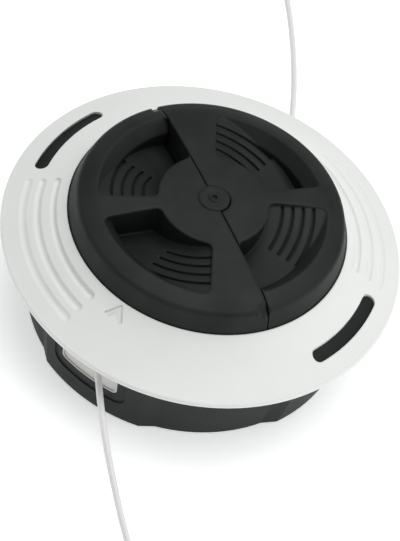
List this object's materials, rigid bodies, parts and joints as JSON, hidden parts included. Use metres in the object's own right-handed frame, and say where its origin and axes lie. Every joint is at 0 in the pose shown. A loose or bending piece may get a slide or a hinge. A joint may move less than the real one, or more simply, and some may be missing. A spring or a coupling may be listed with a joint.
{
  "type": "line trimmer head",
  "caption": "Bump-feed trimmer head: lobed black housing, dished white cover disc, split finger-grip knob on a sprung spool, and round nylon line leaving through grey eyelets.",
  "frame": {"origin": "centre of the flat mounting face on the machine side, on the turning axis", "axes": "+Z along the turning axis from the mounting face to the knob, -Y to the front line eyelet, +Y to the rear one"},
  "size_m": [0.15, 0.2727, 0.0642],
  "materials": {
    "housing_plastic": "fine moulded texture",
    "knob_plastic": "satin, lightly textured",
    "cover_plastic": "smooth satin",
    "eyelet_plastic": "smooth satin",
    "spool_plastic": "smooth satin",
    "line_nylon": "translucent drawn nylon",
    "nut_steel": "machined",
    "spring_steel": "drawn wire",
    "washer_steel": "plated"
  },
  "bodies": {
    "head": {"housing": "housing_plastic", "drive_nut": "nut_steel", "eyelet_front": "eyelet_plastic", "eyelet_rear": "eyelet_plastic", "cover_disc": "cover_plastic", "bump_spring": "spring_steel", "line_end_front": "line_nylon", "line_end_rear": "line_nylon"},
    "bump_slide": {"thrust_washer": "washer_steel"},
    "spool_and_knob": {"spool": "spool_plastic", "winding_lower": "line_nylon", "winding_upper": "line_nylon", "knob_half_a": "knob_plastic", "knob_half_b": "knob_plastic"}
  },
  "joints": [
    {"name": "bump", "type": "slide", "parent": "head", "child": "bump_slide", "axis": [0, 0, -1], "range_m": [0, 0.006], "stiffness_N_per_m": 2500, "springref_m": -0.006, "deforming": ["bump_spring"]},
    {"name": "wind", "type": "hinge", "parent": "bump_slide", "child": "spool_and_knob", "pos_m": [0, 0, 0], "axis": [0, 0, 1], "continuous": true}
  ]
}
